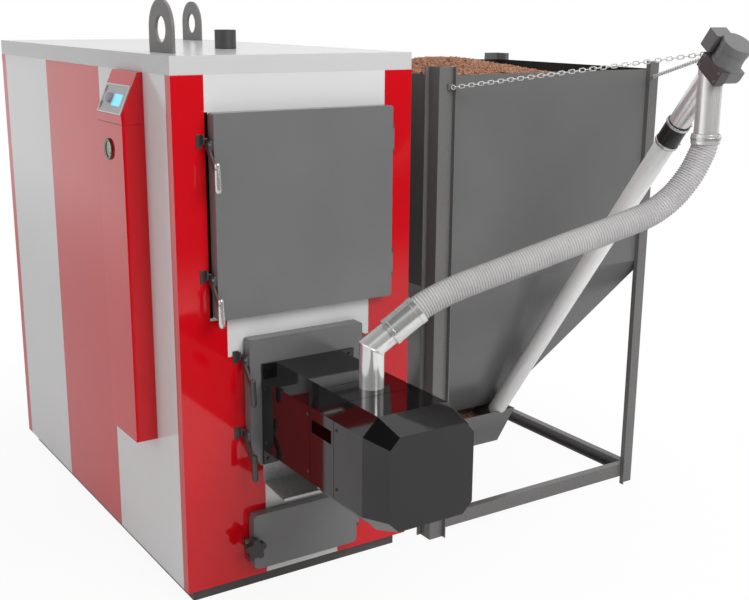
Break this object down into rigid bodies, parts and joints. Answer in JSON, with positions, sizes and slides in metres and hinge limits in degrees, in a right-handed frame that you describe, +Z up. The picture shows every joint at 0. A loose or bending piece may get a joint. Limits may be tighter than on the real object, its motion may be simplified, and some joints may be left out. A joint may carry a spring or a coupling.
{
  "type": "pellet boiler",
  "caption": "Floor-standing steel heating boiler with a swing-out pellet burner, an inclined screw feeder, a ribbed feed hose and a framed pellet hopper beside it.",
  "frame": {"origin": "middle of the boiler's base on the floor", "axes": "+Z up, -Y out of the boiler's front where the doors and burner are, +X towards the hopper"},
  "size_m": [1.7065, 2.2815, 1.5829],
  "materials": {
    "plinth_paint": "matt dark grey paint",
    "vessel_steel": "welded steel plate, primed",
    "fire_steel": "bare heat-dulled steel",
    "wool": "mineral wool slab",
    "white_sheet": "semi-gloss powder coat",
    "red_sheet": "gloss powder coat",
    "door_paint": "semi-gloss graphite powder coat",
    "eye_steel": "dull painted plate",
    "pipe_black": "dull painted pipe",
    "bright_steel": "zinc-plated steel",
    "lining": "fibre board and woven rope",
    "latch_steel": "satin steel",
    "burner_gloss": "high-gloss black enamel",
    "hood_paint": "semi-gloss dark grey",
    "fan_alloy": "cast and machined",
    "motor_grey": "satin motor paint",
    "shelf_steel": "satin sheet",
    "pipe_galv": "galvanised tube",
    "cuff_galv": "galvanised sleeve",
    "knob_black": "moulded, matt",
    "hopper_paint": "satin grey powder coat",
    "post_paint": "satin grey powder coat",
    "pellet_wood": "loose wood pellets",
    "sleeve_rubber": "dark elastic sleeve with clamps",
    "screw_steel": "worn steel",
    "gear_paint": "dull dark paint on cast housing",
    "chain_zinc": "zinc-plated wire",
    "hose_clear": "milky flexible plastic",
    "fascia_grey": "light grey moulding",
    "display_blue": "lit liquid-crystal window",
    "knob_grey": "soft grey plastic",
    "gauge_case": "black case",
    "needle_red": "red paint"
  },
  "bodies": {
    "boiler": {"plinth": "plinth_paint", "pressure_shell": "vessel_steel", "front_plate": "vessel_steel", "firebox": "fire_steel", "fire_tubes": "fire_steel", "insulation": "wool", "casing_left": "white_sheet", "casing_right": "white_sheet", "casing_top": "white_sheet", "casing_back": "white_sheet", "front_panel": "white_sheet", "trim_left": "red_sheet", "trim_right": "red_sheet", "side_stripes": "red_sheet", "console_box": "red_sheet", "console_head": "red_sheet", "console_fascia": "fascia_grey", "display": "display_blue", "gauge_body": "gauge_case", "lifting_eyes": "eye_steel", "pipe_stubs": "pipe_black", "flue_outlet": "pipe_black", "door_hardware": "latch_steel", "ash_drawer": "fire_steel", "hopper_frame": "post_paint", "hopper_walls": "hopper_paint", "hopper_funnel": "hopper_paint", "trough": "hopper_paint", "pellets": "pellet_wood", "auger_tube": "pipe_galv", "coupling_sleeve": "sleeve_rubber", "outlet_tee": "pipe_galv", "gearbox": "gear_paint", "auger_motor": "motor_grey", "chain_left": "chain_zinc", "chain_right": "chain_zinc", "feed_hose": "hose_clear"},
    "upper_door_leaf": {"upper_door": "door_paint", "upper_door_lining": "lining"},
    "upper_latch_1": {"upper_latch_top": "latch_steel"},
    "upper_latch_2": {"upper_latch_bottom": "latch_steel"},
    "burner_door_leaf": {"burner_door": "door_paint", "burner_door_lining": "lining", "burner_body": "burner_gloss", "burner_mid_body": "burner_gloss", "burner_hood": "hood_paint", "burner_tube": "fire_steel", "fan_motor": "motor_grey", "inlet_pipe": "pipe_galv", "hose_cuff": "cuff_galv", "burner_shelf": "shelf_steel"},
    "burner_latch_1": {"burner_latch_top": "latch_steel"},
    "burner_latch_2": {"burner_latch_bottom": "latch_steel"},
    "fan_wheel": {"burner_fan": "fan_alloy"},
    "ash_door_leaf": {"ash_door": "door_paint", "ash_door_lining": "lining"},
    "ash_star_knob": {"ash_knob": "knob_black"},
    "screw": {"auger_screw": "screw_steel"},
    "needle": {"gauge_needle": "needle_red"},
    "knob": {"control_knob": "knob_grey"}
  },
  "joints": [
    {"name": "upper_door_hinge", "type": "hinge", "parent": "boiler", "child": "upper_door_leaf", "pos_m": [0.277, -0.7365, 1.0535], "axis": [0, 0, 1], "range_deg": [0, 40]},
    {"name": "upper_latch_top_pivot", "type": "hinge", "parent": "upper_door_leaf", "child": "upper_latch_1", "pos_m": [-0.2653, -0.7425, 1.235], "axis": [-1, 0, 0], "range_deg": [0, 100]},
    {"name": "upper_latch_bottom_pivot", "type": "hinge", "parent": "upper_door_leaf", "child": "upper_latch_2", "pos_m": [-0.2653, -0.7425, 0.895], "axis": [-1, 0, 0], "range_deg": [0, 100]},
    {"name": "burner_door_hinge", "type": "hinge", "parent": "boiler", "child": "burner_door_leaf", "pos_m": [0.1825, -0.7365, 0.5535], "axis": [0, 0, 1], "range_deg": [0, 90], "deforming": ["feed_hose"]},
    {"name": "burner_latch_top_pivot", "type": "hinge", "parent": "burner_door_leaf", "child": "burner_latch_1", "pos_m": [-0.1808, -0.7425, 0.67], "axis": [-1, 0, 0], "range_deg": [0, 100]},
    {"name": "burner_latch_bottom_pivot", "type": "hinge", "parent": "burner_door_leaf", "child": "burner_latch_2", "pos_m": [-0.1808, -0.7425, 0.46], "axis": [-1, 0, 0], "range_deg": [0, 100]},
    {"name": "burner_fan_spin", "type": "hinge", "parent": "burner_door_leaf", "child": "fan_wheel", "pos_m": [0, -1.2125, 0.522], "axis": [0, 1, 0], "continuous": true},
    {"name": "ash_door_hinge", "type": "hinge", "parent": "boiler", "child": "ash_door_leaf", "pos_m": [0.169, -0.7365, 0.1535], "axis": [0, 0, 1], "range_deg": [0, 110]},
    {"name": "ash_knob_turn", "type": "hinge", "parent": "ash_door_leaf", "child": "ash_star_knob", "pos_m": [-0.177, -0.7525, 0.1495], "axis": [0, 1, 0], "continuous": true},
    {"name": "auger_spin", "type": "hinge", "parent": "boiler", "child": "screw", "pos_m": [0.928, -0.4345, 0.23], "axis": [-0.0578, -0.6004, 0.7976], "continuous": true},
    {"name": "gauge_needle_turn", "type": "hinge", "parent": "boiler", "child": "needle", "pos_m": [-0.403, -0.4535, 1.206], "axis": [1, 0, 0], "range_deg": [0, 270]},
    {"name": "control_knob_turn", "type": "hinge", "parent": "boiler", "child": "knob", "pos_m": [-0.39451, -0.4435, 1.33454], "axis": [-0.9156, 0, 0.4022], "continuous": true}
  ]
}
